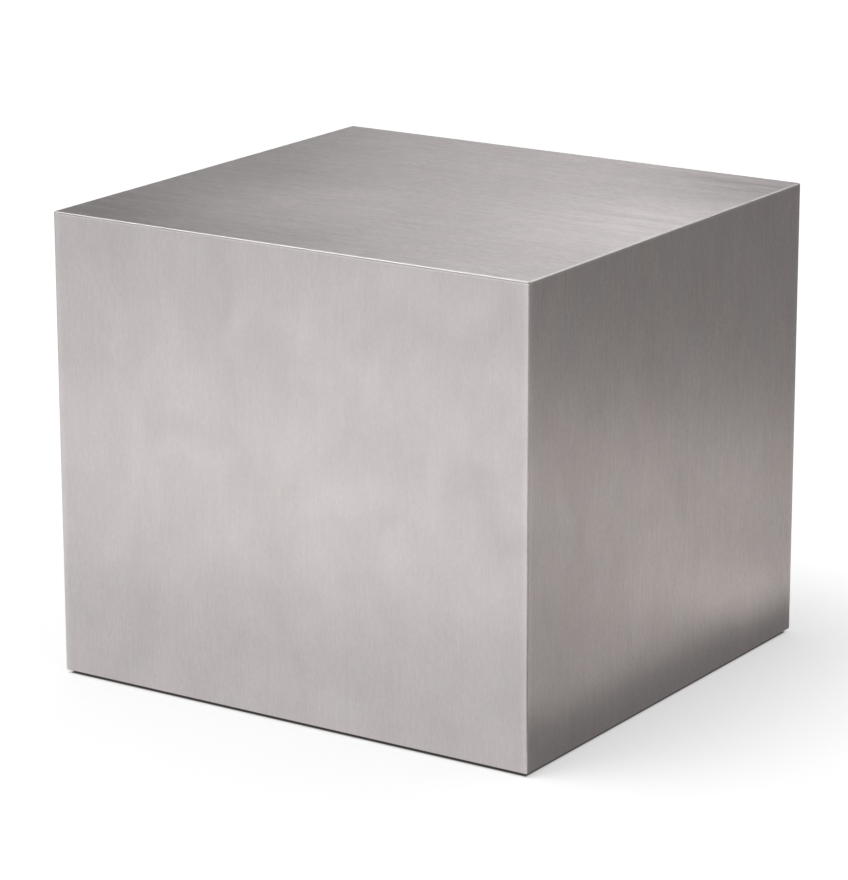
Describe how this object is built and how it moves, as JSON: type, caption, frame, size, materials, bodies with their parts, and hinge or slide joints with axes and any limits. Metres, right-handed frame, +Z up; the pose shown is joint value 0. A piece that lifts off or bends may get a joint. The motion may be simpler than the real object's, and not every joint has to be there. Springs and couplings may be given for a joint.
{
  "type": "steel-clad cube side table",
  "caption": "Cube side table clad in brushed stainless steel sheet over a board carcass, on screw feet hidden in a recess under its base.",
  "frame": {"origin": "on the floor, under the middle of the table, with the feet screwed fully in", "axes": "+Z up; the front faces -Y; +X to the right seen from the front"},
  "size_m": [0.495, 0.465, 0.43],
  "materials": {
    "brushed_stainless": "fine linear brush, vertical on the walls and along X on the top, with a faint cloudy patina",
    "dressed_weld": "welded edge ground and polished brighter than the faces",
    "mdf": "raw medium-density fibreboard",
    "black_painted_mdf": "black paint on fibreboard",
    "pine": "planed softwood",
    "zinc_screws": "bright zinc plate",
    "black_screws": "black phosphate",
    "stainless_screws": "plain stainless",
    "zinc_hardware": "zinc plate",
    "black_nylon": "moulded nylon",
    "sole_rubber": "matt rubber"
  },
  "bodies": {
    "cabinet": {"top_sheet": "brushed_stainless", "front_right_sheet": "brushed_stainless", "rear_left_sheet": "brushed_stainless", "top_edge_weld": "dressed_weld", "front_left_weld": "dressed_weld", "rear_right_weld": "dressed_weld", "top_board": "mdf", "front_board": "mdf", "rear_board": "mdf", "left_board": "mdf", "right_board": "mdf", "base_board": "black_painted_mdf", "top_board_screws": "zinc_screws", "wall_screws": "zinc_screws", "base_board_screws": "black_screws", "return_screws": "stainless_screws", "tee_nuts": "zinc_hardware", "corner_batten_front_left": "pine", "corner_batten_front_right": "pine", "corner_batten_rear_left": "pine", "corner_batten_rear_right": "pine", "base_cleat_front": "pine", "base_cleat_rear": "pine", "base_cleat_left": "pine", "base_cleat_right": "pine"},
    "foot_front_left": {"foot_pad_front_left": "black_nylon", "foot_sole_front_left": "sole_rubber"},
    "stud_front_left": {"foot_stud_front_left": "zinc_hardware"},
    "foot_front_right": {"foot_pad_front_right": "black_nylon", "foot_sole_front_right": "sole_rubber"},
    "stud_front_right": {"foot_stud_front_right": "zinc_hardware"},
    "foot_rear_left": {"foot_pad_rear_left": "black_nylon", "foot_sole_rear_left": "sole_rubber"},
    "stud_rear_left": {"foot_stud_rear_left": "zinc_hardware"},
    "foot_rear_right": {"foot_pad_rear_right": "black_nylon", "foot_sole_rear_right": "sole_rubber"},
    "stud_rear_right": {"foot_stud_rear_right": "zinc_hardware"}
  },
  "joints": [
    {"name": "height_front_left", "type": "slide", "parent": "cabinet", "child": "foot_front_left", "axis": [0, 0, -1], "range_m": [0, 0.015]},
    {"name": "spin_front_left", "type": "hinge", "parent": "foot_front_left", "child": "stud_front_left", "pos_m": [-0.1875, -0.1725, 0], "axis": [0, 0, -1], "range_deg": [0, 4320]},
    {"name": "height_front_right", "type": "slide", "parent": "cabinet", "child": "foot_front_right", "axis": [0, 0, -1], "range_m": [0, 0.015]},
    {"name": "spin_front_right", "type": "hinge", "parent": "foot_front_right", "child": "stud_front_right", "pos_m": [0.1875, -0.1725, 0], "axis": [0, 0, -1], "range_deg": [0, 4320]},
    {"name": "height_rear_left", "type": "slide", "parent": "cabinet", "child": "foot_rear_left", "axis": [0, 0, -1], "range_m": [0, 0.015]},
    {"name": "spin_rear_left", "type": "hinge", "parent": "foot_rear_left", "child": "stud_rear_left", "pos_m": [-0.1875, 0.1725, 0], "axis": [0, 0, -1], "range_deg": [0, 4320]},
    {"name": "height_rear_right", "type": "slide", "parent": "cabinet", "child": "foot_rear_right", "axis": [0, 0, -1], "range_m": [0, 0.015]},
    {"name": "spin_rear_right", "type": "hinge", "parent": "foot_rear_right", "child": "stud_rear_right", "pos_m": [0.1875, 0.1725, 0], "axis": [0, 0, -1], "range_deg": [0, 4320]}
  ],
  "couplings": [
    {"joint": "spin_front_left", "follows": "height_front_left", "rad_per_m": 5026.5},
    {"joint": "spin_front_right", "follows": "height_front_right", "rad_per_m": 5026.5},
    {"joint": "spin_rear_left", "follows": "height_rear_left", "rad_per_m": 5026.5},
    {"joint": "spin_rear_right", "follows": "height_rear_right", "rad_per_m": 5026.5}
  ]
}
